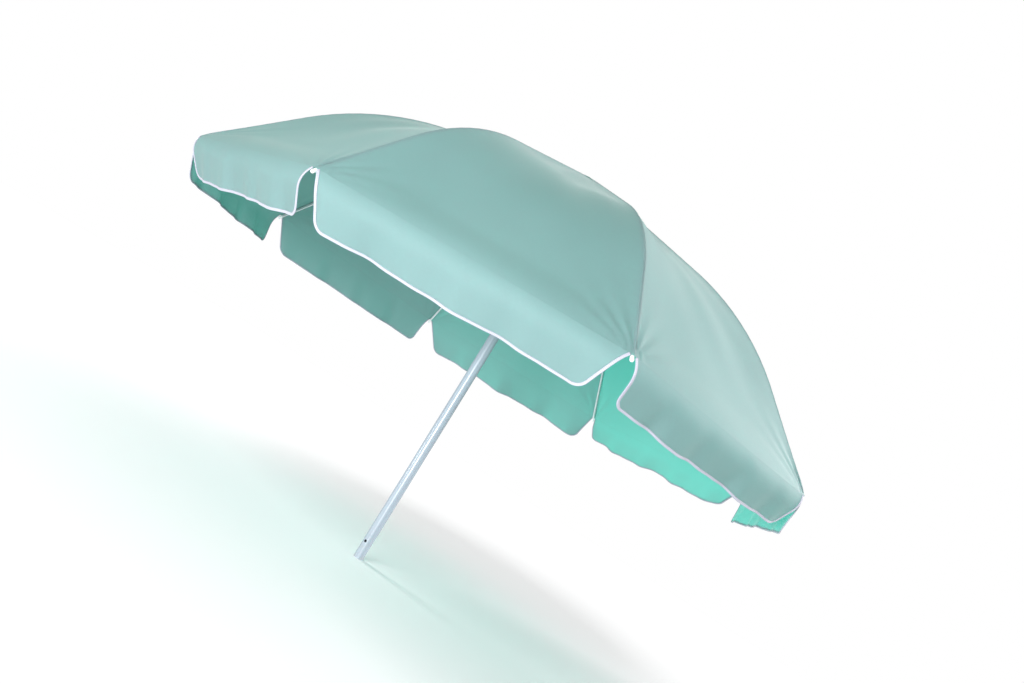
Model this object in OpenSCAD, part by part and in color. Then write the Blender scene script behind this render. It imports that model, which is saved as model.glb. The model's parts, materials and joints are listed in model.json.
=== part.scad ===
// Beach umbrella: the upper section of a two-piece umbrella, stored open.
// Frame: mm, +Z up along the pole from its lower end to the crown.
// Origin: centre of the pole's lower end. Rib 1 lies over +X, and rib n stands (n - 1) x 45 degrees
// round from it.

/* [Canopy] */
// Distance from the pole's axis to a rib's tip
rim_radius = 790; // [650:5:950]
// Height of the rib tips over the pole's lower end
rim_height = 616; // [450:2:800]
// Slope of a rib near the crown, in degrees
crown_slope = 17; // [10:0.5:25]
// Slope of a rib at the rim, in degrees
rim_slope = 45.5; // [35:0.5:55]
// Where a rib starts to bend, as a share of the rim radius
bend_start = 0.45; // [0.35:0.01:0.55]
// Where a rib stops bending, as a share of the rim radius
bend_end = 0.80; // [0.7:0.01:0.9]
// Sag of a gore's middle under the line between its ribs, at its deepest
gore_sag = 15; // [0:1:30]
// Cloth thickness of the closed solids that stand for the fabric
cloth = 0.8; // [0.5:0.1:1.5]
// Radius of the crown patch, inside which no gore reaches
patch_radius = 40; // [36:1:50]

/* [Valance] */
// Depth of a valance flap from the rim to its hem
flap_depth = 95; // [60:1:130]
// Inset of a flap's side at the rim, on each side of a slit
slit_top = 6; // [2:1:15]
// Inset of a flap's side at the hem, on each side of a slit
slit_hem = 36; // [5:1:60]
// Direction round the pole that the flaps fall toward, from the first rib, in degrees
fall_heading = 180; // [0:5:355]
// How far a flap on that side swings outward from straight down, and one opposite swings inward, in degrees
fall_swing = 30; // [0:5:45]
// How far a flap halfway between those sides leans sideways, in degrees
fall_lean = 20; // [0:5:30]

/* [Pole] */
// Outer diameter of the pole
pole_diameter = 25; // [19:0.5:38]
// Wall of the pole's tube
pole_wall = 1.2; // [0.8:0.1:2]
// Outer diameter of the pole's narrowed end, which goes into a lower pole or a stand
end_diameter = 24; // [18:0.5:37]
// Length of that narrowed end
end_length = 58; // [45:1:90]
// Height of the snap-button hole over the pole's lower end
button_height = 43; // [25:1:80]
// Diameter of the snap-button hole
button_hole = 7; // [5:0.5:10]

/* [Frame] */
// Width of a rib, across its plane
rib_width = 4; // [3:0.5:6]
// Height of a rib, in its plane
rib_height = 6; // [4:0.5:7]
// Gap between a rib's top and the cloth over it
rib_gap = 2.1; // [1.5:0.1:4]
// Radius of the ring wire that the ribs turn on
crown_ring_radius = 28; // [24:1:32]
// Height of that ring wire under the crown patch
crown_ring_drop = 11; // [8:1:16]
// Where the stretcher meets its rib, as a share of the rim radius
stretcher_share = 0.50; // [0.4:0.01:0.6]
// Length of a stretcher between its pivots
stretcher_length = 412; // [380:1:450]
// Thickness of a stretcher, across its plane
stretcher_width = 3; // [2:0.5:4]
// Gap between a rib and the stretcher beside it
side_gap = 0.5; // [0.3:0.1:1]

/* [View] */
// Which sub-part to draw

/* [Hidden] */
rib_count = 8;
step_angle = 360 / rib_count;
half_angle = step_angle / 2;
seam_gap = 0.2;
fine = 48;

bend_start_r = bend_start * rim_radius;
bend_end_r = bend_end * rim_radius;
bend_radius = (bend_end_r - bend_start_r) / (sin(rim_slope) - sin(crown_slope));
bend_end_z = rim_height + (rim_radius - bend_end_r) * tan(rim_slope);
bend_start_z = bend_end_z + bend_radius * (cos(crown_slope) - cos(rim_slope));
bend_centre = [bend_start_r - bend_radius * sin(crown_slope), bend_start_z - bend_radius * cos(crown_slope)];
crown_z = bend_start_z + (bend_start_r - crown_ring_radius) * tan(crown_slope);

rib_top = cloth + rib_gap;
rib_middle = rib_top + rib_height / 2;
rib_bottom = rib_top + rib_height;

pivot_z = crown_z - crown_ring_drop;
stretcher_r = stretcher_share * rim_radius;
stretcher_slope = asin((stretcher_r - bend_centre[0]) / bend_radius);
joint_r = bend_centre[0] + (bend_radius - rib_middle) * sin(stretcher_slope);
joint_z = bend_centre[1] + (bend_radius - rib_middle) * cos(stretcher_slope);
stretcher_y = rib_width / 2 + side_gap + stretcher_width / 2;
runner_ring_radius = 24;
runner_pivot_r = sqrt(runner_ring_radius * runner_ring_radius - stretcher_y * stretcher_y);
joint_reach = joint_r - runner_pivot_r;
runner_z = joint_z - sqrt(stretcher_length * stretcher_length - joint_reach * joint_reach);
stretcher_angle = asin((joint_z - runner_z) / stretcher_length);

hub_radius = 34;
hub_bottom = pivot_z - 10;
hub_top = pivot_z + 4.5;
collar_bottom = hub_bottom - 20;
pole_top = pivot_z - 1;
catch_top = runner_z - 46;
tip_length = 14;
tip_radius = 3.6;

// A rib's line in its own plane: kind 0 is on the straight near the crown, 1 on the bend, 2 on the
// straight to the rim.
// The value is a radius on the straights and a slope on the bend. depth is how far under the cloth's
// outer face.
function line_point(kind, value, depth) =
    kind == 0 ? [value - depth * sin(crown_slope),
        bend_start_z + (bend_start_r - value) * tan(crown_slope) - depth * cos(crown_slope)]
    : kind == 1 ? [bend_centre[0] + (bend_radius - depth) * sin(value),
        bend_centre[1] + (bend_radius - depth) * cos(value)]
    : [value - depth * sin(rim_slope), bend_end_z - (value - bend_end_r) * tan(rim_slope) - depth * cos(rim_slope)];

function slope_at(kind, value) = kind == 0 ? crown_slope : kind == 1 ? value : rim_slope;

bend_steps = 6;
bend_stations = [for (i = [0 : bend_steps]) [1, crown_slope + (rim_slope - crown_slope) * i / bend_steps]];
gore_stations = concat([[0, patch_radius + 2], [0, 120], [0, 240]], bend_stations,
    [[2, 690], [2, 740], [2, rim_radius - 1]]);
rib_stations = concat([[0, crown_ring_radius + 9], [0, 120], [0, 240]], bend_stations,
    [[2, 690], [2, 740], [2, rim_radius - 4]]);

// Share of the full sag at a radius: none at the crown and at the rim, most past the middle.
function sag_share(r) = sin(180 * pow(min(r / rim_radius, 1), 1.3));

// A point of a gore in the frame of its own middle plane, across from -1 on one rib to 1 on the next.
function gore_point(station, across, depth) =
    let (p = line_point(station[0], station[1], depth))
    let (slope = slope_at(station[0], station[1]))
    let (sag = gore_sag * sag_share(p[0]) * (1 - across * across))
    [p[0] * cos(half_angle) - sag * sin(slope), across * (p[0] * sin(half_angle) - seam_gap),
        p[1] - sag * cos(slope)];

// Two faces of a sheet, each a grid of rows x columns points, closed round their edges.
function sheet_faces(rows, columns) =
    let (under = rows * columns)
    concat(
        [for (i = [0 : rows - 2]) for (j = [0 : columns - 2])
            [i * columns + j, (i + 1) * columns + j, (i + 1) * columns + j + 1]],
        [for (i = [0 : rows - 2]) for (j = [0 : columns - 2])
            [i * columns + j, (i + 1) * columns + j + 1, i * columns + j + 1]],
        [for (i = [0 : rows - 2]) for (j = [0 : columns - 2])
            [under + i * columns + j, under + (i + 1) * columns + j + 1, under + (i + 1) * columns + j]],
        [for (i = [0 : rows - 2]) for (j = [0 : columns - 2])
            [under + i * columns + j, under + i * columns + j + 1, under + (i + 1) * columns + j + 1]],
        [for (j = [0 : columns - 2]) [j, j + 1, under + j + 1]],
        [for (j = [0 : columns - 2]) [j, under + j + 1, under + j]],
        let (last = (rows - 1) * columns)
        [for (j = [0 : columns - 2]) [last + j, under + last + j + 1, last + j + 1]],
        let (last = (rows - 1) * columns)
        [for (j = [0 : columns - 2]) [last + j, under + last + j, under + last + j + 1]],
        [for (i = [0 : rows - 2]) [i * columns, under + i * columns, under + (i + 1) * columns]],
        [for (i = [0 : rows - 2]) [i * columns, under + (i + 1) * columns, (i + 1) * columns]],
        let (end = columns - 1)
        [for (i = [0 : rows - 2]) [i * columns + end, under + (i + 1) * columns + end,
            under + i * columns + end]],
        let (end = columns - 1)
        [for (i = [0 : rows - 2]) [i * columns + end, (i + 1) * columns + end,
            under + (i + 1) * columns + end]]);

module around(n) {
    rotate([0, 0, (n - 1) * step_angle]) children();
}

module between(n) {
    rotate([0, 0, (n - 0.5) * step_angle]) children();
}

// A tube drawn as one turned section.
module tube(inner, outer, bottom, top) {
    rotate_extrude($fn = fine)
        polygon([[inner, bottom], [outer, bottom], [outer, top], [inner, top]]);
}

// A wire bent into a ring round the pole.
module ring_wire(radius, wire, height) {
    translate([0, 0, height]) rotate_extrude($fn = fine) translate([radius, 0]) circle(r = wire, $fn = 16);
}

module pole_tube() {
    color("Lavender")
        difference() {
            rotate_extrude($fn = fine)
                polygon([[end_diameter / 2 - pole_wall, 0], [end_diameter / 2, 0],
                    [end_diameter / 2, end_length],
                    [pole_diameter / 2, end_length + 2], [pole_diameter / 2, pole_top],
                        [pole_diameter / 2 - pole_wall, pole_top],
                    [pole_diameter / 2 - pole_wall, end_length + 2],
                        [end_diameter / 2 - pole_wall, end_length]]);
            // snap-button hole through one wall, facing rib 1
            translate([0, 0, button_height]) rotate([0, 90, 0])
                cylinder(d = button_hole, h = pole_diameter, $fn = fine);
            // slot that the spring catch stands out of
            translate([6, -2.3, catch_top - 24.5]) cube([10, 4.6, 25]);
            // hole for the crown pin, through both walls
            translate([-pole_diameter, 0, collar_bottom + 9]) rotate([0, 90, 0])
                cylinder(d = 4.1, h = 2 * pole_diameter, $fn = fine);
        }
}

module pole_end_plug() {
    color("Ivory")
        rotate_extrude($fn = fine)
            polygon([[0, 0.2], [9.9, 0.2], [10.75, 1], [10.75, 22], [9.8, 23], [8.6, 23], [8.6, 4.5],
                [0, 4.5]]);
}

// A leaf of sprung steel: its ramp stands out of the pole's slot right under the runner.
module spring_catch() {
    color("Silver")
        rotate([90, 0, 0]) translate([0, 0, -1.5]) linear_extrude(height = 3)
            polygon([[8.6, catch_top - 27], [10.2, catch_top - 27], [10.2, catch_top - 24],
                [11, catch_top - 22],
                [16.4, catch_top - 4], [16.4, catch_top - 0.5], [8.6, catch_top - 0.5]]);
}

module crown_hub() {
    color("WhiteSmoke")
        difference() {
            rotate_extrude($fn = fine)
                polygon([[0, pole_top + 0.3], [12.55, pole_top + 0.3], [12.55, collar_bottom],
                    [17, collar_bottom],
                    [18, collar_bottom + 1], [18, hub_bottom - 2], [21, hub_bottom],
                        [hub_radius - 1, hub_bottom],
                    [hub_radius, hub_bottom + 1], [hub_radius, hub_top - 1], [hub_radius - 1, hub_top],
                        [22, hub_top],
                    [20, crown_z - cloth - 0.7], [0, crown_z - cloth - 0.7]]);
            // groove that the ring wire lies in, open at the top
            tube(crown_ring_radius - 1.4, crown_ring_radius + 1.4, pivot_z - 1.4, hub_top + 5);
            // a slot for each rib
            for (n = [1 : rib_count]) around(n)
                translate([crown_ring_radius - 5.5, -(rib_width + 1) / 2, hub_bottom - 5])
                    cube([20, rib_width + 1, 40]);
            // hole for the crown pin
            translate([-30, 0, collar_bottom + 9]) rotate([0, 90, 0]) cylinder(d = 4.1, h = 60, $fn = fine);
            // hole for the cap's stem
            translate([0, 0, crown_z - 12]) cylinder(d = 6.2, h = 30, $fn = fine);
        }
}

module crown_ring() {
    color("Silver") ring_wire(crown_ring_radius, 1.1, pivot_z);
}

module crown_pin() {
    color("Silver")
        translate([0, 0, collar_bottom + 9]) rotate([0, 90, 0]) rotate_extrude($fn = fine)
            polygon([[0, -20.2], [2.6, -20.2], [3.6, -19.4], [3.6, -18.2], [2, -18.2], [2, 18.2], [3.6, 18.2],
                [3.6, 19.4], [2.6, 20.2], [0, 20.2]]);
}

module crown_patch() {
    color("MediumAquamarine")
        rotate_extrude($fn = fine)
            polygon([[3.4, crown_z - cloth], [22, crown_z - cloth - 0.2],
                [patch_radius - 0.2, line_point(0, patch_radius, 0)[1] - cloth],
                [patch_radius, line_point(0, patch_radius, 0)[1]], [24, crown_z + 0.1],
                    [3.4, crown_z + 0.4]]);
}

module crown_cap() {
    color("WhiteSmoke")
        rotate_extrude($fn = fine)
            polygon([[0, crown_z - 11], [3, crown_z - 11], [3, crown_z + 0.7], [17, crown_z + 0.7],
                [17, crown_z + 1.3],
                [14, crown_z + 2.3], [8, crown_z + 2.9], [0, crown_z + 3.1]]);
}

module runner_sleeve() {
    color("WhiteSmoke")
        difference() {
            rotate_extrude($fn = fine)
                polygon([[13, runner_z - 44], [17.5, runner_z - 44], [18.5, runner_z - 43],
                    [18.5, runner_z - 36],
                    [16.5, runner_z - 34], [16.5, runner_z - 8], [19, runner_z - 6], [29, runner_z - 6],
                    [30, runner_z - 5], [30, runner_z + 5], [29, runner_z + 6], [19, runner_z + 6],
                    [16.5, runner_z + 8], [16.5, runner_z + 16], [15.5, runner_z + 17], [13, runner_z + 17]]);
            // groove that the ring wire lies in, open at the top
            tube(runner_ring_radius - 1.3, runner_ring_radius + 1.3, runner_z - 1.3, runner_z + 10);
            // a slot for each stretcher, beside the rib's plane
            for (n = [1 : rib_count]) around(n)
                translate([18.6, stretcher_y - 2.1, runner_z - 10]) cube([20, 4.2, 30]);
        }
}

module runner_ring() {
    color("Silver") ring_wire(runner_ring_radius, 1, runner_z);
}

module rib(n) {
    inner = rib_stations[0];
    top_start = line_point(inner[0], inner[1], rib_top);
    bottom_start = line_point(inner[0], inner[1], rib_bottom);
    color("Gainsboro")
        around(n)
            difference() {
                union() {
                    rotate([90, 0, 0]) translate([0, 0, -rib_width / 2]) linear_extrude(height = rib_width)
                        polygon(concat(
                            [[crown_ring_radius - 1, pivot_z + 3.2], top_start],
                            [for (i = [1 : len(rib_stations) - 1]) line_point(rib_stations[i][0],
                                rib_stations[i][1], rib_top)],
                            [for (i = [len(rib_stations) - 1 : -1 : 1]) line_point(rib_stations[i][0],
                                rib_stations[i][1], rib_bottom)],
                            [bottom_start, [crown_ring_radius + 2, pivot_z - 3]]));
                    translate([crown_ring_radius, rib_width / 2, pivot_z]) rotate([90, 0, 0])
                        cylinder(r = 4, h = rib_width, $fn = fine);
                }
                // eye for the crown's ring wire
                translate([crown_ring_radius, rib_width, pivot_z]) rotate([90, 0, 0])
                    cylinder(r = 1.5, h = 2 * rib_width, $fn = fine);
                // hole at the stretcher's joint
                translate([joint_r, rib_width, joint_z]) rotate([90, 0, 0])
                    cylinder(r = 1.6, h = 2 * rib_width, $fn = fine);
            }
}

// A moulded cap over the rib's end, which the canopy's corner is tied to.
module rib_tip(n) {
    end = line_point(2, rim_radius - 4, rib_middle);
    color("White")
        around(n) translate([end[0], 0, end[1]]) rotate([0, 90 + rim_slope, 0]) translate([0, 0, 0.3])
            rotate_extrude($fn = fine)
                polygon([[0, 0], [tip_radius - 0.6, 0], [tip_radius, 0.6], [tip_radius, tip_length - 3],
                    [tip_radius - 0.8, tip_length - 1.2], [tip_radius - 2.2, tip_length - 0.2],
                        [0, tip_length]]);
}

module stretcher(n) {
    color("Gainsboro")
        around(n) translate([runner_pivot_r, stretcher_y + stretcher_width / 2, runner_z]) rotate([90, 0, 0])
            rotate([0, 0, stretcher_angle])
                difference() {
                    union() {
                        translate([0, -3, 0]) cube([stretcher_length, 6, stretcher_width]);
                        cylinder(r = 4, h = stretcher_width, $fn = fine);
                        translate([stretcher_length, 0, 0]) cylinder(r = 3, h = stretcher_width, $fn = fine);
                    }
                    translate([0, 0, -1]) cylinder(r = 1.7, h = stretcher_width + 2, $fn = fine);
                    translate([stretcher_length, 0, -1])
                        cylinder(r = 1.55, h = stretcher_width + 2, $fn = fine);
                }
}

// The rivet rides on the stretcher. Its foot stops short of the rib, which is the one pivot left open.
module stretcher_rivet(n) {
    color("Silver")
        around(n) translate([joint_r, rib_width / 2 + side_gap - 0.1, joint_z]) rotate([-90, 0, 0])
            rotate_extrude($fn = fine)
                polygon([[0, 0], [1.5, 0], [1.5, stretcher_width + 0.4], [2.6, stretcher_width + 0.4],
                    [2.6, stretcher_width + 1], [1.6, stretcher_width + 1.7], [0, stretcher_width + 1.9]]);
}

module gore(n) {
    across = [-1, -0.7, -0.35, 0, 0.35, 0.7, 1];
    color("MediumAquamarine")
        between(n)
            polyhedron(
                points = concat(
                    [for (s = gore_stations) for (a = across) gore_point(s, a, 0)],
                    [for (s = gore_stations) for (a = across) gore_point(s, a, cloth)]),
                faces = sheet_faces(len(gore_stations), len(across)), convexity = 10);
}

// Each flap falls the same way as the others, so its swing and lean follow from where it is round the rim.
function flap_turn(n) = fall_heading - (n - 0.5) * 360 / rib_count;
function flap_swing(n) = fall_swing * cos(flap_turn(n));
function flap_lean(n) = fall_lean * sin(flap_turn(n));

// Direction of a flap at a share of its depth: it leaves the rim near the canopy's slope and bends to
// its own swing.
function flap_angle(n, share) =
    let (start = 90 - rim_slope)
    let (turned = min(1, 0.45 + share * 2.2))
    start + (flap_swing(n) - start) * turned;

// Middle line of a flap, from the rim down, as outward and upward distances, one point at each share of
// its depth.
flap_shares = [0, 0.12, 0.3, 0.6, 1];
function flap_line(n, i) =
    i == 0 ? [0, 0]
    : let (before = flap_line(n, i - 1))
      let (length = flap_depth * (flap_shares[i] - flap_shares[i - 1]) * cos(flap_lean(n)))
      let (angle = flap_angle(n, (flap_shares[i] + flap_shares[i - 1]) / 2))
      [before[0] + length * sin(angle), before[1] - length * cos(angle)];

function flap_point(n, i, across, depth) =
    let (rim = line_point(2, rim_radius, 0))
    let (line = flap_line(n, i))
    let (angle = flap_angle(n, flap_shares[i]))
    let (half = rim[0] * sin(half_angle) - slit_top - (slit_hem - slit_top) * flap_shares[i])
    [rim[0] * cos(half_angle) + 0.3 + line[0] - depth * cos(angle),
        across * half + flap_depth * flap_shares[i] * sin(flap_lean(n)),
        rim[1] - 0.3 + line[1] - depth * sin(angle)];

module valance(n) {
    across = [-1, -0.5, 0, 0.5, 1];
    color("Aquamarine")
        between(n)
            polyhedron(
                points = concat(
                    [for (i = [0 : len(flap_shares) - 1]) for (a = across) flap_point(n, i, a, 0)],
                    [for (i = [0 : len(flap_shares) - 1]) for (a = across) flap_point(n, i, a, cloth)]),
                faces = sheet_faces(len(flap_shares), len(across)), convexity = 10);
}

pole_tube();
pole_end_plug();
spring_catch();
crown_hub();
crown_ring();
crown_pin();
crown_patch();
crown_cap();
runner_sleeve();
runner_ring();
rib(1);  // rib_1
rib(2);  // rib_2
rib(3);  // rib_3
rib(4);  // rib_4
rib(5);  // rib_5
rib(6);  // rib_6
rib(7);  // rib_7
rib(8);  // rib_8
rib_tip(1);  // rib_tip_1
rib_tip(2);  // rib_tip_2
rib_tip(3);  // rib_tip_3
rib_tip(4);  // rib_tip_4
rib_tip(5);  // rib_tip_5
rib_tip(6);  // rib_tip_6
rib_tip(7);  // rib_tip_7
rib_tip(8);  // rib_tip_8
stretcher(1);  // stretcher_1
stretcher(2);  // stretcher_2
stretcher(3);  // stretcher_3
stretcher(4);  // stretcher_4
stretcher(5);  // stretcher_5
stretcher(6);  // stretcher_6
stretcher(7);  // stretcher_7
stretcher(8);  // stretcher_8
stretcher_rivet(1);  // stretcher_rivet_1
stretcher_rivet(2);  // stretcher_rivet_2
stretcher_rivet(3);  // stretcher_rivet_3
stretcher_rivet(4);  // stretcher_rivet_4
stretcher_rivet(5);  // stretcher_rivet_5
stretcher_rivet(6);  // stretcher_rivet_6
stretcher_rivet(7);  // stretcher_rivet_7
stretcher_rivet(8);  // stretcher_rivet_8
gore(1);  // gore_1
gore(2);  // gore_2
gore(3);  // gore_3
gore(4);  // gore_4
gore(5);  // gore_5
gore(6);  // gore_6
gore(7);  // gore_7
gore(8);  // gore_8
valance(1);  // valance_1
valance(2);  // valance_2
valance(3);  // valance_3
valance(4);  // valance_4
valance(5);  // valance_5
valance(6);  // valance_6
valance(7);  // valance_7
valance(8);  // valance_8
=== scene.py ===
import json
import math

import bpy
from mathutils import Matrix, Vector


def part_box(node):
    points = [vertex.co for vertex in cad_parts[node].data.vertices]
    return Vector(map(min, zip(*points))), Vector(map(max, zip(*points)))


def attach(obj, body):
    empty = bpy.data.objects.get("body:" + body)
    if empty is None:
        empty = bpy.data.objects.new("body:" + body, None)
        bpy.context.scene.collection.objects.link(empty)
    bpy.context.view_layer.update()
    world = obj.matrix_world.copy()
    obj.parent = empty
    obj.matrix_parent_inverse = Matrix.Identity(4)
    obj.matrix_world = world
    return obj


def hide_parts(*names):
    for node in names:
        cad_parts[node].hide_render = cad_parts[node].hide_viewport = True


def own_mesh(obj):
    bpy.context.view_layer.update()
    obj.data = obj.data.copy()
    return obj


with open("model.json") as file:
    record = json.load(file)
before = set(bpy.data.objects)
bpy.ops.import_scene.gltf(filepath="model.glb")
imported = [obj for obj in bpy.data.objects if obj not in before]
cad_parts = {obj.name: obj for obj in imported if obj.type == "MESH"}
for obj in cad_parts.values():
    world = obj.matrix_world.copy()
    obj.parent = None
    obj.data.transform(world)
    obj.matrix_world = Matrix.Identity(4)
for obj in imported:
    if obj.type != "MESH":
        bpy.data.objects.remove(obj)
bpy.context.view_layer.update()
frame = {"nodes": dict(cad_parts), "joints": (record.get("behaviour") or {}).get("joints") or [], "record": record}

# ------------------------------------------------------------------ sizes, in metres
# The canopy's own sizes are the CAD's
RIBS = 8
HALF = math.pi / RIBS
RIM_RADIUS = 0.790
RIM_HEIGHT = 0.616
CROWN_SLOPE = math.radians(17)
RIM_SLOPE = math.radians(45.5)
BEND_START = 0.45 * RIM_RADIUS
BEND_END = 0.80 * RIM_RADIUS
GORE_SAG = 0.015
SEAM_GAP = 0.0001
FLAP_DEPTH = 0.095
SLIT_HEM = 0.036

# The flaps' common fall is the CAD's too: toward this heading, with its swing and lean in degrees
FALL_HEADING = math.radians(180)
FALL_SWING = 30
FALL_LEAN = 20

# What the CAD's plain solids leave out: each flap's own sway in degrees, outward and along the rim,
# and how much further in three of the flap sides stand at the hem, by (flap, side)
SWAY_OUT = [0, -20, -10, 20, 10, 0, 0, -5]
SWAY_ALONG = [0, 0, 10, 25, 0, 0, 0, 10]
WIDE_SLITS = {(1, 1): 0.025, (5, 1): 0.010, (2, -1): -0.020}

# The cloth's finer sizes. The panels start under the crown patch, and at the rim a flap's side stands
# 2 mm nearer its rib than in the CAD
GORE_START = 0.037
SLIT_TOP = 0.004
CORNER = 0.018
CLOTH = 0.0005
SEAM_CLOTH = 0.0006
SEAM_SHORT = 0.006
SHOULDER = 0.090
SHOULDER_TURN = math.radians(21)
ROLL = 0.048

# How a rib folds, from its joint, and how far the cloth between the ribs is drawn together by then
RIB_HINGE = next(joint for joint in frame["joints"] if joint["name"] == "rib_fold_1")
HINGE_RADIUS = math.hypot(RIB_HINGE["pos_m"][0], RIB_HINGE["pos_m"][1])
HINGE_HEIGHT = RIB_HINGE["pos_m"][2]
FOLD = math.radians(RIB_HINGE["range_deg"][1])

# How finely the sheets are cut, and how much closer their columns stand near the sides
LINE_STEPS = 12
GORE_ROWS = 96
GORE_COLUMNS = 61
STRIP_STEPS = 12
FLAP_ROWS = 22
CORNER_ROWS = 10
FLAP_COLUMNS = 101
HEM_STEPS = 120
SEAM_ROWS = 120
GORE_CROWDING = 0.4 * math.pi
FLAP_CROWDING = 1.25

BEND_RADIUS = (BEND_END - BEND_START) / (math.sin(RIM_SLOPE) - math.sin(CROWN_SLOPE))
BEND_END_HEIGHT = RIM_HEIGHT + (RIM_RADIUS - BEND_END) * math.tan(RIM_SLOPE)
BEND_START_HEIGHT = BEND_END_HEIGHT + BEND_RADIUS * (math.cos(CROWN_SLOPE) - math.cos(RIM_SLOPE))
LENGTH_IN = (BEND_START - GORE_START) / math.cos(CROWN_SLOPE)
LENGTH_BEND = BEND_RADIUS * (RIM_SLOPE - CROWN_SLOPE)
LENGTH_OUT = (RIM_RADIUS - BEND_END) / math.cos(RIM_SLOPE)
RIB_LENGTH = LENGTH_IN + LENGTH_BEND + LENGTH_OUT

# ------------------------------------------------------------------ camera
CAMERA_PLACE = Vector((1.915, 1.113, 0.381))
CAMERA_HEADING = math.radians(209.1)
CAMERA_TILT = math.radians(6.0)
CAMERA_ROLL = math.radians(31.6)
CAMERA_LENS = 33.0


def make_camera():
    data = bpy.data.cameras.new("camera")
    data.lens = CAMERA_LENS
    data.sensor_width = 36.0
    data.clip_start = 0.05
    data.clip_end = 60.0
    camera = bpy.data.objects.new("camera", data)
    bpy.context.scene.collection.objects.link(camera)
    look = Vector((
        math.cos(CAMERA_TILT) * math.cos(CAMERA_HEADING),
        math.cos(CAMERA_TILT) * math.sin(CAMERA_HEADING),
        math.sin(CAMERA_TILT),
    ))
    level = look.cross(Vector((0, 0, 1))).normalized()
    over = level.cross(look)
    right = level * math.cos(CAMERA_ROLL) + over * math.sin(CAMERA_ROLL)
    up = over * math.cos(CAMERA_ROLL) - level * math.sin(CAMERA_ROLL)
    turn = Matrix((right, up, -look)).transposed().to_4x4()
    camera.matrix_world = Matrix.Translation(CAMERA_PLACE) @ turn
    bpy.context.scene.camera = camera


make_camera()


# ------------------------------------------------------------------ materials
def srgb(red, green, blue):
    def linear(c):
        c /= 255
        return c / 12.92 if c <= 0.04045 else ((c + 0.055) / 1.055) ** 2.4
    return (linear(red), linear(green), linear(blue), 1)


class Nodes:
    """A material's node tree, with short ways to add and join nodes."""

    def __init__(self, name):
        self.material = bpy.data.materials.new(name)
        self.material.use_nodes = True
        self.tree = self.material.node_tree
        self.tree.nodes.clear()
        self.output = self.add("ShaderNodeOutputMaterial")

    def add(self, kind, **settings):
        node = self.tree.nodes.new(kind)
        for key, value in settings.items():
            setattr(node, key, value)
        return node

    def join(self, start, end):
        self.tree.links.new(start, end)

    def noise(self, place, scale, detail=3.0, rough=0.55):
        node = self.add("ShaderNodeTexNoise")
        node.inputs["Scale"].default_value = scale
        node.inputs["Detail"].default_value = detail
        node.inputs["Roughness"].default_value = rough
        self.join(place, node.inputs["Vector"])
        return node.outputs["Fac"]

    def mix(self, share, first, second):
        node = self.add("ShaderNodeMix", data_type="RGBA")
        self.join(share, node.inputs["Factor"])
        for socket, value in ((node.inputs["A"], first), (node.inputs["B"], second)):
            if isinstance(value, tuple):
                socket.default_value = value
            else:
                self.join(value, socket)
        return node.outputs["Result"]

    def ramp(self, value, low, high, out_low=0.0, out_high=1.0):
        node = self.add("ShaderNodeMapRange")
        self.join(value, node.inputs["Value"])
        node.inputs["From Min"].default_value = low
        node.inputs["From Max"].default_value = high
        node.inputs["To Min"].default_value = out_low
        node.inputs["To Max"].default_value = out_high
        return node.outputs["Result"]

    def math(self, operation, first, second):
        node = self.add("ShaderNodeMath", operation=operation)
        for socket, value in zip(node.inputs, (first, second)):
            if isinstance(value, (int, float)):
                socket.default_value = value
            else:
                self.join(value, socket)
        return node.outputs["Value"]

    def bump(self, height, strength, distance, after=None):
        node = self.add("ShaderNodeBump")
        node.inputs["Strength"].default_value = strength
        node.inputs["Distance"].default_value = distance
        self.join(height, node.inputs["Height"])
        if after is not None:
            self.join(after, node.inputs["Normal"])
        return node.outputs["Normal"]


def weave(n, threads):
    """Height of a plain weave laid out on the cloth's own UV, threads to the metre."""
    place = n.add("ShaderNodeUVMap", uv_map="UVMap").outputs["UV"]
    over = n.add("ShaderNodeTexWave", wave_type="BANDS", bands_direction="X")
    across = n.add("ShaderNodeTexWave", wave_type="BANDS", bands_direction="Y")
    for wave in (over, across):
        wave.inputs["Scale"].default_value = threads * 2 * math.pi / 20
        wave.inputs["Distortion"].default_value = 0.6
        wave.inputs["Detail"].default_value = 1.0
        n.join(place, wave.inputs["Vector"])
    return place, n.math("MULTIPLY", over.outputs["Fac"], across.outputs["Fac"])


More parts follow.
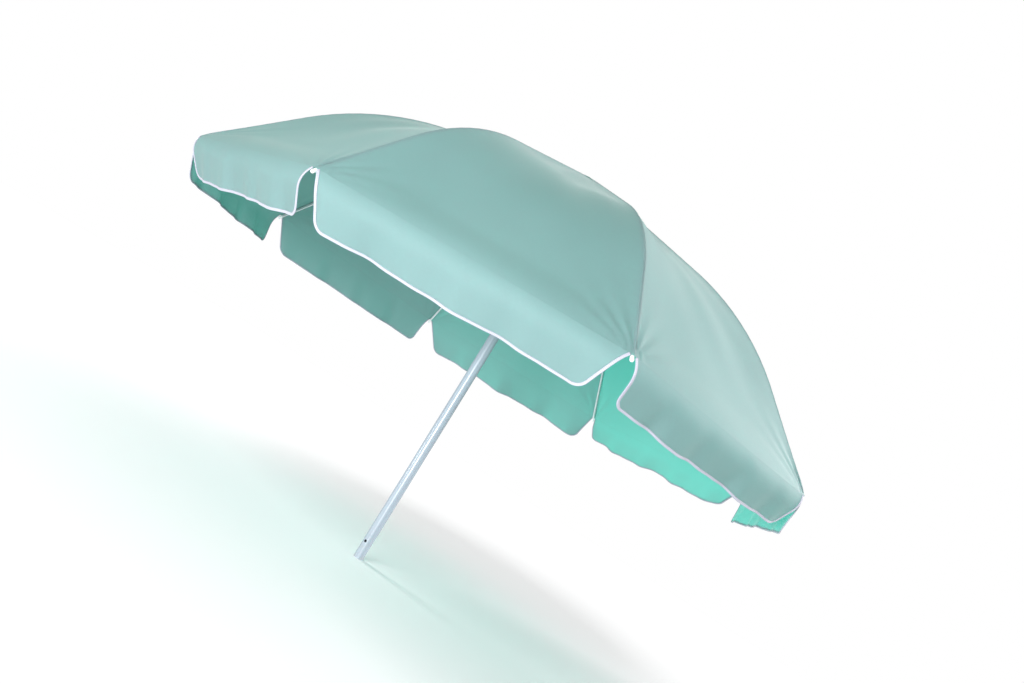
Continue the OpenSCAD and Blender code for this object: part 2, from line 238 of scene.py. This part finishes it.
def canopy_cloth():
    n = Nodes("canopy_cloth")
    place, threads = weave(n, 900)
    body = n.add("ShaderNodeTexCoord").outputs["Object"]
    soft = n.noise(body, 3.0, 2.0)
    slub = n.add("ShaderNodeTexNoise")
    slub.inputs["Scale"].default_value = 120
    slub.inputs["Detail"].default_value = 2
    stretch = n.add("ShaderNodeMapping")
    stretch.inputs["Scale"].default_value = (1.0, 9.0, 1.0)
    n.join(place, stretch.inputs["Vector"])
    n.join(stretch.outputs["Vector"], slub.inputs["Vector"])
    tone = n.mix(n.ramp(soft, 0.35, 0.65), (0.246, 0.318, 0.345, 1), (0.265, 0.341, 0.369, 1))
    tone = n.mix(n.ramp(slub.outputs["Fac"], 0.45, 0.75, 0, 0.30), tone, (0.310, 0.445, 0.480, 1))
    # The cloth is painted up to 12 % darker where the weave is low, between the threads: painted shade in the
    # weave's hollows.
    tone = n.mix(n.ramp(threads, 0.0, 0.5, 0.12, 0.0), tone, (0.130, 0.270, 0.275, 1))
    relief = n.bump(threads, 0.25, 0.0002)
    relief = n.bump(n.noise(body, 45, 4.0), 0.10, 0.002, relief)
    face = n.add("ShaderNodeBsdfPrincipled")
    face.inputs["Roughness"].default_value = 0.72
    face.inputs["Specular IOR Level"].default_value = 0.45
    face.inputs["Sheen Weight"].default_value = 0.25
    face.inputs["Sheen Roughness"].default_value = 0.4
    n.join(tone, face.inputs["Base Color"])
    n.join(relief, face.inputs["Normal"])
    through = n.add("ShaderNodeBsdfTranslucent")
    through.inputs["Color"].default_value = (0.070, 0.830, 0.700, 1)
    n.join(relief, through.inputs["Normal"])
    both = n.add("ShaderNodeMixShader")
    both.inputs[0].default_value = 0.42
    n.join(face.outputs[0], both.inputs[1])
    n.join(through.outputs[0], both.inputs[2])
    n.join(both.outputs[0], n.output.inputs["Surface"])
    return n.material


def binding_tape():
    n = Nodes("binding_tape")
    place, threads = weave(n, 700)
    stitch = n.add("ShaderNodeTexWave", wave_type="BANDS", bands_direction="X")
    stitch.inputs["Scale"].default_value = 330 * 2 * math.pi / 20
    n.join(place, stitch.inputs["Vector"])
    # The stitch line is painted lighter on the raised stitches and darker in the dips between them: a stitch
    # pattern with painted shade in the dips.
    tone = n.mix(n.ramp(stitch.outputs["Fac"], 0.2, 0.5), srgb(146, 149, 163), srgb(170, 172, 186))
    tone = n.mix(n.ramp(n.noise(place, 30), 0.4, 0.7, 0, 0.5), tone, srgb(159, 161, 175))
    relief = n.bump(threads, 0.4, 0.0003)
    relief = n.bump(stitch.outputs["Fac"], 0.3, 0.0004, relief)
    face = n.add("ShaderNodeBsdfPrincipled")
    face.inputs["Roughness"].default_value = 0.7
    face.inputs["Sheen Weight"].default_value = 0.2
    n.join(tone, face.inputs["Base Color"])
    n.join(relief, face.inputs["Normal"])
    n.join(face.outputs[0], n.output.inputs["Surface"])
    return n.material


def pole_paint():
    n = Nodes("pole_paint")
    body = n.add("ShaderNodeTexCoord").outputs["Object"]
    height = n.add("ShaderNodeSeparateXYZ")
    n.join(body, height.inputs[0])
    streak = n.add("ShaderNodeMapping")
    streak.inputs["Scale"].default_value = (60.0, 60.0, 1.5)
    n.join(body, streak.inputs["Vector"])
    lines = n.noise(streak.outputs["Vector"], 4.0, 4.0)
    tone = n.mix(n.ramp(lines, 0.35, 0.7), srgb(142, 152, 164), srgb(154, 164, 175))
    near_foot = n.ramp(height.outputs["Z"], 0.075, 0.0, 0, 1)
    patches = n.ramp(n.noise(body, 90), 0.52, 0.62)
    worn = n.math("MULTIPLY", near_foot, patches)
    tone = n.mix(worn, tone, srgb(150, 156, 162))
    face = n.add("ShaderNodeBsdfPrincipled")
    face.inputs["Coat Weight"].default_value = 0.3
    face.inputs["Coat Roughness"].default_value = 0.15
    n.join(tone, face.inputs["Base Color"])
    n.join(n.ramp(lines, 0.2, 0.8, 0.30, 0.45), face.inputs["Roughness"])
    n.join(n.bump(n.noise(body, 400, 2.0), 0.06, 0.0005), face.inputs["Normal"])
    n.join(face.outputs[0], n.output.inputs["Surface"])
    return n.material


def rib_paint():
    n = Nodes("rib_paint")
    body = n.add("ShaderNodeTexCoord").outputs["Object"]
    spots = n.noise(body, 60, 4.0)
    tone = n.mix(n.ramp(spots, 0.4, 0.65), srgb(206, 212, 216), srgb(226, 230, 232))
    tone = n.mix(n.ramp(n.noise(body, 180, 2.0), 0.66, 0.72), tone, srgb(150, 152, 154))
    face = n.add("ShaderNodeBsdfPrincipled")
    face.inputs["Metallic"].default_value = 0.25
    n.join(tone, face.inputs["Base Color"])
    n.join(n.ramp(spots, 0.2, 0.8, 0.32, 0.5), face.inputs["Roughness"])
    n.join(n.bump(n.noise(body, 300, 2.0), 0.08, 0.0005), face.inputs["Normal"])
    n.join(face.outputs[0], n.output.inputs["Surface"])
    return n.material


def bare_steel():
    n = Nodes("bare_steel")
    body = n.add("ShaderNodeTexCoord").outputs["Object"]
    grain = n.noise(body, 500, 3.0)
    tone = n.mix(n.ramp(n.noise(body, 70), 0.35, 0.7), srgb(176, 178, 182), srgb(206, 208, 212))
    face = n.add("ShaderNodeBsdfPrincipled")
    face.inputs["Metallic"].default_value = 1.0
    n.join(tone, face.inputs["Base Color"])
    n.join(n.ramp(grain, 0.3, 0.7, 0.25, 0.42), face.inputs["Roughness"])
    n.join(n.bump(grain, 0.08, 0.0003), face.inputs["Normal"])
    n.join(face.outputs[0], n.output.inputs["Surface"])
    return n.material


def moulded(name, light, dark, rough):
    n = Nodes(name)
    body = n.add("ShaderNodeTexCoord").outputs["Object"]
    tone = n.mix(n.ramp(n.noise(body, 40, 3.0), 0.35, 0.7), light, dark)
    face = n.add("ShaderNodeBsdfPrincipled")
    face.inputs["Subsurface Weight"].default_value = 0.08
    face.inputs["Subsurface Radius"].default_value = (0.004, 0.004, 0.004)
    n.join(tone, face.inputs["Base Color"])
    n.join(n.ramp(n.noise(body, 200), 0.3, 0.7, rough - 0.06, rough + 0.08), face.inputs["Roughness"])
    n.join(n.bump(n.noise(body, 900, 2.0), 0.10, 0.0002), face.inputs["Normal"])
    n.join(face.outputs[0], n.output.inputs["Surface"])
    return n.material


def floor_paper():
    n = Nodes("floor_paper")
    body = n.add("ShaderNodeTexCoord").outputs["Object"]
    tone = n.mix(n.noise(body, 3, 2.0), (0.93, 0.93, 0.93, 1), (0.95, 0.95, 0.95, 1))
    face = n.add("ShaderNodeBsdfPrincipled")
    face.inputs["Roughness"].default_value = 0.9
    face.inputs["Specular IOR Level"].default_value = 0.1
    n.join(tone, face.inputs["Base Color"])
    n.join(face.outputs[0], n.output.inputs["Surface"])
    return n.material


CANOPY = canopy_cloth()
TAPE = binding_tape()
FINISHES = {
    "pole_paint": pole_paint(),
    "rib_paint": rib_paint(),
    "bare_steel": bare_steel(),
    "white_plastic": moulded("white_plastic", srgb(236, 237, 238), srgb(224, 226, 228), 0.35),
    "cream_plastic": moulded("cream_plastic", srgb(231, 226, 212), srgb(219, 212, 196), 0.5),
    "canopy_cloth": CANOPY,
}


def finish_cad_nodes():
    slot_of = {part["node"]: part["material_slot"] for part in frame["record"]["subparts"]}
    for name, node in frame["nodes"].items():
        node.data.materials.clear()
        node.data.materials.append(FINISHES[slot_of[name]])


finish_cad_nodes()


# ------------------------------------------------------------------ the canopy's shape
def rib_line(along):
    """(radius, height, slope) on a rib's line, along metres of cloth out from the crown patch."""
    if along < LENGTH_IN:
        radius = GORE_START + along * math.cos(CROWN_SLOPE)
        height = BEND_START_HEIGHT + (BEND_START - radius) * math.tan(CROWN_SLOPE)
        slope = CROWN_SLOPE
    elif along < LENGTH_IN + LENGTH_BEND:
        slope = CROWN_SLOPE + (along - LENGTH_IN) / BEND_RADIUS
        radius = BEND_START + BEND_RADIUS * (math.sin(slope) - math.sin(CROWN_SLOPE))
        height = BEND_START_HEIGHT - BEND_RADIUS * (math.cos(CROWN_SLOPE) - math.cos(slope))
    else:
        slope = RIM_SLOPE
        radius = BEND_END + (along - LENGTH_IN - LENGTH_BEND) * math.cos(RIM_SLOPE)
        height = BEND_END_HEIGHT - (radius - BEND_END) * math.tan(RIM_SLOPE)
    return radius, height, slope


def shoulder(along, side):
    """How far the cloth swells just inside the rim, where the panel rolls over into its flap."""
    near = 1 - (RIB_LENGTH - along) / SHOULDER
    if near <= 0:
        return 0.0
    spread = 1 - math.exp(-(1 - side * side) * 1.5)
    return SHOULDER * SHOULDER_TURN * spread * near * near * (1 - near)


def folds(n, along, side):
    """How far the cloth stands proud of its smooth shape.

    Pulls fan out from the rib tips, puckers run beside the seams, and soft waves cross the middle.
    """
    radius = rib_line(along)[0]
    half_width = radius * math.sin(HALF)
    total = 0.0
    for end in (-1, 1):
        off = half_width * (1 - end * side)
        back = RIB_LENGTH - along
        away = math.hypot(off, back)
        turn = math.atan2(back, off + 1e-6)
        at_rim = 1 - math.exp(-back / 0.012)
        fade = math.exp(-away / 0.060) * (1 - math.exp(-away / 0.010)) * at_rim
        total += 0.0030 * fade * math.sin(15 * turn + 1.3 * n + end)
        pucker = math.exp(-off / 0.016) * (1 - math.exp(-off / 0.004)) * at_rim
        total += 0.0006 * pucker * math.sin(along * 210 + 2 * n + end)
    swell = math.sin(math.pi * min(along / RIB_LENGTH, 1)) * (1 - side * side)
    total += 0.0016 * swell * math.sin(5.2 * side + 7 * along + 1.7 * n)
    total += 0.0010 * swell * math.sin(9.1 * side - 13 * along + 0.9 * n)
    return total


def gore_point(n, along, side, lift=0.0):
    """A point of gore n in the frame of its own middle plane.

    side runs from -1 on one rib to 1 on the next.
    """
    radius, height, slope = rib_line(along)
    share = math.sin(math.pi * min(radius / RIM_RADIUS, 1) ** 1.3)
    sag = GORE_SAG * share * (1 - side * side) - folds(n, along, side) - shoulder(along, side) - lift
    return Vector((
        radius * math.cos(HALF) - sag * math.sin(slope),
        side * (radius * math.sin(HALF) - SEAM_GAP),
        height - sag * math.cos(slope),
    ))


def flap_turn(n):
    """How far round the rim the flaps' common fall is from flap n."""
    return FALL_HEADING - (2 * n - 1) * HALF


def flap_swing(n):
    """How far flap n hangs outward from straight down, in degrees: the common fall and its own sway."""
    return FALL_SWING * math.cos(flap_turn(n)) + SWAY_OUT[n - 1]


def flap_lean(n):
    """How far flap n leans toward its next rib, in radians."""
    return math.radians(FALL_LEAN * math.sin(flap_turn(n)) + SWAY_ALONG[n - 1])


def flap_angle(n, share):
    """The flap's own angle outward from straight down.

    It leaves the rim as the shoulder does, and eases to its swing.
    """
    start = 90 - math.degrees(RIM_SLOPE + SHOULDER_TURN)
    eased = min(1.0, share * FLAP_DEPTH / ROLL)
    eased = eased * eased * (3 - 2 * eased) * 0.6 + eased * 0.4
    return math.radians(start + (flap_swing(n) - start) * eased)


def flap_line(n, share):
    """(outward, upward) distances from the rim to a share of the flap's depth, summed in small steps."""
    out, up = 0.0, 0.0
    length = FLAP_DEPTH * math.cos(flap_lean(n)) * share / LINE_STEPS
    for i in range(LINE_STEPS):
        angle = flap_angle(n, share * (i + 0.5) / LINE_STEPS)
        out += length * math.sin(angle)
        up -= length * math.cos(angle)
    return out, up


def slit_inset(n, side, share):
    """How far a flap's side stands in from its rib: least at the rim, and rounded at the corner."""
    end = 1 if side > 0 else -1
    hem = SLIT_HEM + WIDE_SLITS.get((n, end), 0)
    curl = max(0.0, share - (1 - CORNER / FLAP_DEPTH)) / (CORNER / FLAP_DEPTH)
    round_off = CORNER * (1 - math.sqrt(max(0.0, 1 - curl * curl)))
    return SLIT_TOP + (hem - SLIT_TOP) * share ** 0.85 + round_off


def flap_point(n, side, share):
    """A point of flap n in the frame of its gore's middle plane.

    share runs from 0 at the rim to 1 at the hem.
    """
    share = max(0.0, min(1.0, share))
    out, up = flap_line(n, share)
    angle = flap_angle(n, share)
    across = side * (RIM_RADIUS * math.sin(HALF) - slit_inset(n, side, share))
    wave = 0.0036 * math.sin(across * 24 + 2.1 * n) + 0.0022 * math.sin(across * 51 + 0.7 * n)
    wave += 0.0009 * math.sin(across * 97 + 1.9 * n)
    wave *= 1.4 * share ** 1.3
    return Vector((
        RIM_RADIUS * math.cos(HALF) + out + wave * math.cos(angle),
        across + FLAP_DEPTH * share * math.sin(flap_lean(n)),
        RIM_HEIGHT + up + wave * math.sin(angle),
    ))


def between(n):
    return Matrix.Rotation((n - 0.5) * 2 * HALF, 4, "Z")


# ------------------------------------------------------------------ mesh making
def new_piece(name, points, faces, uvs, material):
    mesh = bpy.data.meshes.new(name)
    mesh.from_pydata([tuple(p) for p in points], [], faces)
    layer = mesh.uv_layers.new(name="UVMap")
    for loop in mesh.loops:
        layer.data[loop.index].uv = uvs[loop.vertex_index]
    mesh.materials.append(material)
    for face in mesh.polygons:
        face.use_smooth = True
    mesh.update()
    piece = bpy.data.objects.new(name, mesh)
    bpy.context.scene.collection.objects.link(piece)
    return piece


def grid_faces(rows, columns):
    faces = []
    for i in range(rows - 1):
        for j in range(columns - 1):
            a = i * columns + j
            faces.append((a, a + columns, a + columns + 1, a + 1))
    return faces


def thicken(piece, thickness):
    """Gives an open sheet its thickness, inward from its outer face, and keeps the result in the mesh."""
    solid = piece.modifiers.new("thickness", "SOLIDIFY")
    solid.thickness = thickness
    solid.offset = -1
    solid.use_even_offset = True
    graph = bpy.context.evaluated_depsgraph_get()
    done = bpy.data.meshes.new_from_object(piece.evaluated_get(graph))
    piece.modifiers.clear()
    piece.data = done
    done.set_sharp_from_angle(angle=math.radians(50))


def crowded(step, steps, crowding):
    """A side value from -1 to 1 for one of the steps, which stand closer together near both sides."""
    return math.sin((2 * step / steps - 1) * crowding) / math.sin(crowding)


def strip_edge(along):
    """Where the strip of cloth that a rib carries ends, as a side value.

    It is wide enough for neighbouring strips to meet midway when the ribs are folded.
    """
    radius, height, _ = rib_line(along)
    out, down = radius - HINGE_RADIUS, HINGE_HEIGHT - height
    folded_radius = HINGE_RADIUS + math.hypot(out, down) * math.cos(math.atan2(down, out) + FOLD)
    width = folded_radius * math.sin(HALF) / (math.cos(HALF) ** 2 + math.sin(HALF) ** 2 * math.cos(FOLD))
    return max(0.1, 1 - width / (radius * math.sin(HALF)))


def make_gore(n):
    """The panel of cloth between two ribs' strips, which is drawn together as the ribs fold."""
    points, uvs = [], []
    turn = between(n)
    for i in range(GORE_ROWS):
        along = RIB_LENGTH * i / (GORE_ROWS - 1)
        edge = strip_edge(along)
        for j in range(GORE_COLUMNS):
            p = gore_point(n, along, edge * crowded(j, GORE_COLUMNS - 1, GORE_CROWDING))
            points.append(turn @ p)
            uvs.append((p.y, along))
    faces = grid_faces(GORE_ROWS, GORE_COLUMNS)
    piece = new_piece(f"gore_sheet_{n}", points, faces, uvs, CANOPY)
    thicken(piece, CLOTH)
    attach(piece, f"gore_cloth_{n}")
    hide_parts(f"gore_{n}")
    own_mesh(piece)


def make_strip(n):
    """The canopy's cloth on both sides of rib n, which stays beside it as it folds.

    The panels meet its edges.
    """
    before = (n - 2) % RIBS + 1
    points, uvs = [], []
    widest = 0.0
    for i in range(GORE_ROWS):
        along = RIB_LENGTH * i / (GORE_ROWS - 1)
        edge = strip_edge(along)
        half_width = rib_line(along)[0] * math.sin(HALF)
        widest = max(widest, 2 * half_width * (1 - edge))
        for j in range(STRIP_STEPS + 1):
            side = edge + (1 - edge) * j / STRIP_STEPS
            points.append(between(before) @ gore_point(before, along, side))
            uvs.append((half_width * (side - 1), along))
        for j in range(STRIP_STEPS + 1):
            side = edge + (1 - edge) * (STRIP_STEPS - j) / STRIP_STEPS
            points.append(between(n) @ gore_point(n, along, -side))
            uvs.append((half_width * (1 - side), along))
    faces = grid_faces(GORE_ROWS, 2 * STRIP_STEPS + 2)
    piece = new_piece(f"rib_strip_{n}", points, faces, uvs, CANOPY)
    thicken(piece, CLOTH)
    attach(piece, f"rib_arm_{n}")


def flap_shares():
    """Rows of a flap: wider apart down to where its corners start to round, then closer along the round."""
    start = 1 - CORNER / FLAP_DEPTH
    shares = [start * (i / FLAP_ROWS) ** 1.4 for i in range(FLAP_ROWS)]
    for i in range(CORNER_ROWS + 1):
        shares.append(start + (1 - start) * math.sin(i / CORNER_ROWS * math.pi / 2))
    return shares


def make_flap(n):
    """The valance flap under gore n, with its bound edge."""
    shares = flap_shares()
    points, uvs = [], []
    turn = between(n)
    for share in shares:
        for j in range(FLAP_COLUMNS):
            p = flap_point(n, crowded(j, FLAP_COLUMNS - 1, FLAP_CROWDING), share)
            points.append(turn @ p)
            uvs.append((p.y, RIB_LENGTH + share * FLAP_DEPTH))
    faces = grid_faces(len(shares), FLAP_COLUMNS)
    piece = new_piece(f"flap_sheet_{n}", points, faces, uvs, CANOPY)
    thicken(piece, CLOTH)
    tape = make_binding(n)
    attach(piece, f"flap_cloth_{n}")
    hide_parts(f"valance_{n}")
    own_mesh(piece)


def binding_path():
    """The flap's bound edge as (side, share) stops: down one slit, along the hem, up the other slit."""
    edge = [0.02 + 0.98 * share for share in flap_shares()]
    path = [(-1.0, share) for share in edge]
    for i in range(1, HEM_STEPS):
        path.append((crowded(i, HEM_STEPS, FLAP_CROWDING), 1.0))
    path += [(1.0, share) for share in reversed(edge)]
    return path


def make_binding(n):
    """The tape folded over a flap's edge, one section swept along it: (inward, outward) from the edge."""
    path = binding_path()
    section = [
        (-0.0006, -0.0003), (-0.0004, 0.0007), (0.0006, 0.0010), (0.0024, 0.0010), (0.0028, 0.0005),
        (0.0032, 0.0009), (0.0044, 0.0008), (0.0048, 0.0001), (0.0028, -0.0002), (0.0016, -0.0007),
        (0.0014, -0.0011), (0.0004, -0.0013), (-0.0004, -0.0010),
    ]
    turn = between(n)
    spots = [flap_point(n, side, share) for side, share in path]
    points, uvs = [], []
    run = 0.0
    for i, (side, share) in enumerate(path):
        before, after = spots[max(0, i - 1)], spots[min(len(spots) - 1, i + 1)]
        if i:
            run += (spots[i] - spots[i - 1]).length
        tangent_way = (after - before).normalized()
        middle = flap_point(n, side * 0.97, max(0.0, share - 0.06 if share > 0.9 else share))
        inward = middle - spots[i]
        inward = (inward - tangent_way * inward.dot(tangent_way)).normalized()
        outward = tangent_way.cross(inward).normalized()
        for across, out in section:
            points.append(turn @ (spots[i] + inward * across + outward * out))
            uvs.append((run, across))
    count = len(section)
    faces = []
    for i in range(len(path) - 1):
        for j in range(count):
            k = (j + 1) % count
            faces.append((i * count + j, i * count + k, (i + 1) * count + k, (i + 1) * count + j))
    faces.append(tuple(reversed(range(count))))
    faces.append(tuple(range((len(path) - 1) * count, len(path) * count)))
    tape = new_piece(f"binding_{n}", points, faces, uvs, TAPE)
    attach(tape, f"flap_cloth_{n}")
    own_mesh(tape)
    return tape


def make_seam(n):
    """The felled seam between two gores, over rib n: a low ridge of doubled cloth that hides the join."""
    section = [
        (-0.0034, -0.0002), (-0.0028, 0.0005), (-0.0010, 0.0007), (-0.0004, 0.0002),
        (0.0004, 0.0002), (0.0010, 0.0007), (0.0028, 0.0005), (0.0034, -0.0002),
    ]
    before = (n - 2) % RIBS + 1
    points, uvs = [], []
    for i in range(SEAM_ROWS):
        along = (RIB_LENGTH - SEAM_SHORT) * i / (SEAM_ROWS - 1)
        half_width = rib_line(along)[0] * math.sin(HALF)
        for off, lift in section:
            if off < 0:
                p = between(before) @ gore_point(before, along, 1 + off / half_width, lift)
            else:
                p = between(n) @ gore_point(n, along, -1 + off / half_width, lift)
            points.append(p)
            uvs.append((off, along))
    piece = new_piece(f"seam_{n}", points, grid_faces(SEAM_ROWS, len(section)), uvs, CANOPY)
    thicken(piece, SEAM_CLOTH)
    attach(piece, f"rib_arm_{n}")


def make_patch():
    """The round of cloth over the hub, which the crown cap holds down."""
    rows, columns = 14, 97
    cap_hole, shoulder_radius, drop = 0.0036, 0.024, 0.0036
    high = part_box("crown_patch")[1]
    outer = high.x
    points, uvs = [], []
    for i in range(rows):
        radius = cap_hole + (outer - cap_hole) * i / (rows - 1)
        for j in range(columns):
            angle = 2 * math.pi * j / (columns - 1)
            edge = max(0.0, (radius - shoulder_radius) / (outer - shoulder_radius))
            height = high.z - 0.0003 - drop * edge ** 1.2
            height += 0.0004 * edge * math.sin(RIBS * angle)
            points.append(Vector((radius * math.cos(angle), radius * math.sin(angle), height)))
            uvs.append((radius * math.cos(angle), radius * math.sin(angle)))
    faces = grid_faces(rows, columns)
    piece = new_piece("patch_sheet", points, faces, uvs, CANOPY)
    thicken(piece, CLOTH)
    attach(piece, "pole")
    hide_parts("crown_patch")


for number in range(1, RIBS + 1):
    make_gore(number)
    make_strip(number)
    make_flap(number)
    make_seam(number)
make_patch()


# ------------------------------------------------------------------ studio
def make_floor():
    size = 9.0
    points = [Vector((x, y, 0.0)) for x in (-size, size) for y in (-size, size)]
    floor = new_piece("floor", points, [(0, 2, 3, 1)], [(p.x, p.y) for p in points], floor_paper())
    return floor


def floor_sun(floor, name, heading):
    """A soft sun that lights the floor alone: the open floor is white and the canopy's shadow grey."""
    sun = bpy.data.objects.new(name, bpy.data.lights.new(name, "SUN"))
    sun.data.energy = 2.0
    sun.data.angle = math.radians(24)
    height = math.radians(26)
    towards = Vector((
        math.cos(height) * math.cos(heading),
        math.cos(height) * math.sin(heading),
        math.sin(height),
    ))
    sun.rotation_euler = (-towards).to_track_quat("-Z", "Y").to_euler()
    bpy.context.scene.collection.objects.link(sun)
    lit = bpy.data.collections.new("lit by " + name)
    lit.objects.link(floor)
    sun.light_linking.receiver_collection = lit


def all_but(floor):
    """A collection that lets a light reach everything except the floor."""
    lit = bpy.data.collections.new("all but the floor")
    lit.objects.link(floor)
    lit.collection_objects[0].light_linking.link_state = "EXCLUDE"
    return lit


def area_light(name, place, target, size, power, lit, colour=(1, 1, 1)):
    data = bpy.data.lights.new(name, "AREA")
    data.shape = "DISK"
    data.size = size
    data.energy = power
    data.color = colour
    light = bpy.data.objects.new(name, data)
    bpy.context.scene.collection.objects.link(light)
    light.location = place
    light.rotation_euler = (Vector(target) - Vector(place)).to_track_quat("-Z", "Y").to_euler()
    light.light_linking.receiver_collection = lit


WORLD_LIGHT = 0.60


def make_studio():
    floor = make_floor()
    world = bpy.data.worlds.new("studio")
    bpy.context.scene.world = world
    world.use_nodes = True
    tree = world.node_tree
    background = tree.nodes["Background"]
    background.inputs["Color"].default_value = (1, 1, 1, 1)
    rays = tree.nodes.new("ShaderNodeLightPath")
    strength = tree.nodes.new("ShaderNodeMapRange")
    strength.inputs["To Min"].default_value = WORLD_LIGHT
    strength.inputs["To Max"].default_value = 1.0
    tree.links.new(rays.outputs["Is Camera Ray"], strength.inputs["Value"])
    tree.links.new(strength.outputs["Result"], background.inputs["Strength"])
    lit = all_but(floor)
    area_light("front", (3.1, 0.9, 0.30), (0, 0, 0.65), 0.7, 128, lit)
    area_light("front left", (2.2, -2.1, 0.05), (0, 0, 0.65), 0.6, 30, lit)
    area_light("right", (-2.3, 2.1, 1.8), (0.1, 0.4, 0.8), 2.0, 250, lit, (1, 0.91, 0.93))
    floor_sun(floor, "floor sun", math.radians(10))
    floor_sun(floor, "floor fill", math.radians(-80))
    bpy.context.scene.view_settings.view_transform = "Standard"


make_studio()

bpy.context.view_layer.update()
